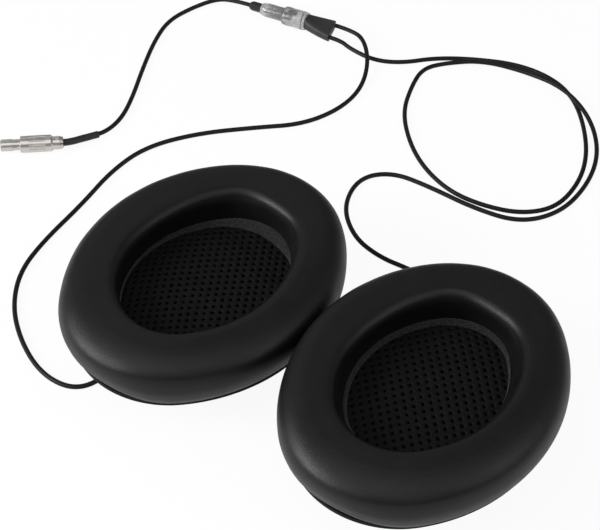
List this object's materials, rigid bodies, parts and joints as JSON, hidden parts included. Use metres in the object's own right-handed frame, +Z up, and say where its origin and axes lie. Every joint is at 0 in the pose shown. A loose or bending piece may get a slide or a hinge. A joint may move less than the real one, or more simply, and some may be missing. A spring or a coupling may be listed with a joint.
{
  "type": "aviation headset",
  "caption": "Helmet ear cups with oval leatherette seals and speakers, joined by a Y-shaped cord to a slim push-pull plug.",
  "frame": {"origin": "on the surface the cups lie on, under the middle of the box round the two cups; cord, plug and junction left out", "axes": "+Z up out of the ear openings, +X along the longer side of the two cups' box, the left cup towards -X"},
  "size_m": [0.2228, 0.2814, 0.0378],
  "materials": {
    "leatherette": "black, fine grained, low sheen",
    "shell_plastic": "black, moulded, fine spark texture",
    "grey_knit": "grey stretch knit",
    "black_mesh": "black spacer mesh",
    "pad_fabric": "black, hook-and-loop pile",
    "foam": "dark open-cell foam",
    "screw_steel": "zinc plated",
    "magnet": "nickel plated",
    "copper": "copper alloy",
    "diaphragm_film": "thin clear film",
    "board": "solder-masked board",
    "wire_insulation": "thin wire insulation",
    "cord_jacket": "black, satin",
    "nickel": "satin nickel plate",
    "insulator": "natural engineering plastic",
    "shrink_tube": "black, soft",
    "black_plastic": "black, moulded",
    "clear_plastic": "frosted clear"
  },
  "bodies": {
    "root": {"junction_boot": "shrink_tube", "junction_collar": "black_plastic", "junction_end_ring": "clear_plastic", "junction_front_sleeve": "clear_plastic", "junction_rear_sleeve": "clear_plastic", "junction_splice_board": "board", "left_baffle_plate": "shell_plastic", "left_baffle_screws": "screw_steel", "left_cord_outlet": "cord_jacket", "left_cup_shell": "shell_plastic", "left_damping_foam": "foam", "left_driver_basket": "shell_plastic", "left_driver_magnet": "magnet", "left_driver_pole_plate": "screw_steel", "left_driver_yoke": "screw_steel", "left_ear_seal_cover": "leatherette", "left_ear_seal_foam": "foam", "left_hook_pad": "pad_fabric", "left_knitted_band": "grey_knit", "left_lead": "cord_jacket", "left_lead_wires": "wire_insulation", "left_seal_mount_ring": "shell_plastic", "left_spacer_mesh": "black_mesh", "left_terminal_board": "board", "plug_back_nut": "nickel", "plug_body": "nickel", "plug_collet": "nickel", "plug_contacts": "copper", "plug_heat_shrink": "shrink_tube", "plug_insulator": "insulator", "plug_lead": "cord_jacket", "right_baffle_plate": "shell_plastic", "right_baffle_screws": "screw_steel", "right_cord_outlet": "cord_jacket", "right_cup_shell": "shell_plastic", "right_damping_foam": "foam", "right_driver_basket": "shell_plastic", "right_driver_magnet": "magnet", "right_driver_pole_plate": "screw_steel", "right_driver_yoke": "screw_steel", "right_ear_seal_cover": "leatherette", "right_ear_seal_foam": "foam", "right_hook_pad": "pad_fabric", "right_knitted_band": "grey_knit", "right_lead": "cord_jacket", "right_lead_wires": "wire_insulation", "right_seal_mount_ring": "shell_plastic", "right_spacer_mesh": "black_mesh", "right_terminal_board": "board"},
    "release_sleeve": {"plug_release_sleeve": "nickel"},
    "left_speaker_cone": {"left_diaphragm": "diaphragm_film", "left_voice_coil": "copper"},
    "right_speaker_cone": {"right_diaphragm": "diaphragm_film", "right_voice_coil": "copper"}
  },
  "joints": [
    {"name": "release_sleeve_slide", "type": "slide", "parent": "root", "child": "release_sleeve", "axis": [0.9966, 0.0819, 0], "range_m": [0, 0.001], "stiffness_N_per_m": 800, "springref_m": -0.001},
    {"name": "left_cone_slide", "type": "slide", "parent": "root", "child": "left_speaker_cone", "axis": [0, 0, 1], "range_m": [-0.0003, 0.0003], "stiffness_N_per_m": 400},
    {"name": "right_cone_slide", "type": "slide", "parent": "root", "child": "right_speaker_cone", "axis": [0, 0, 1], "range_m": [-0.0003, 0.0003], "stiffness_N_per_m": 400}
  ]
}
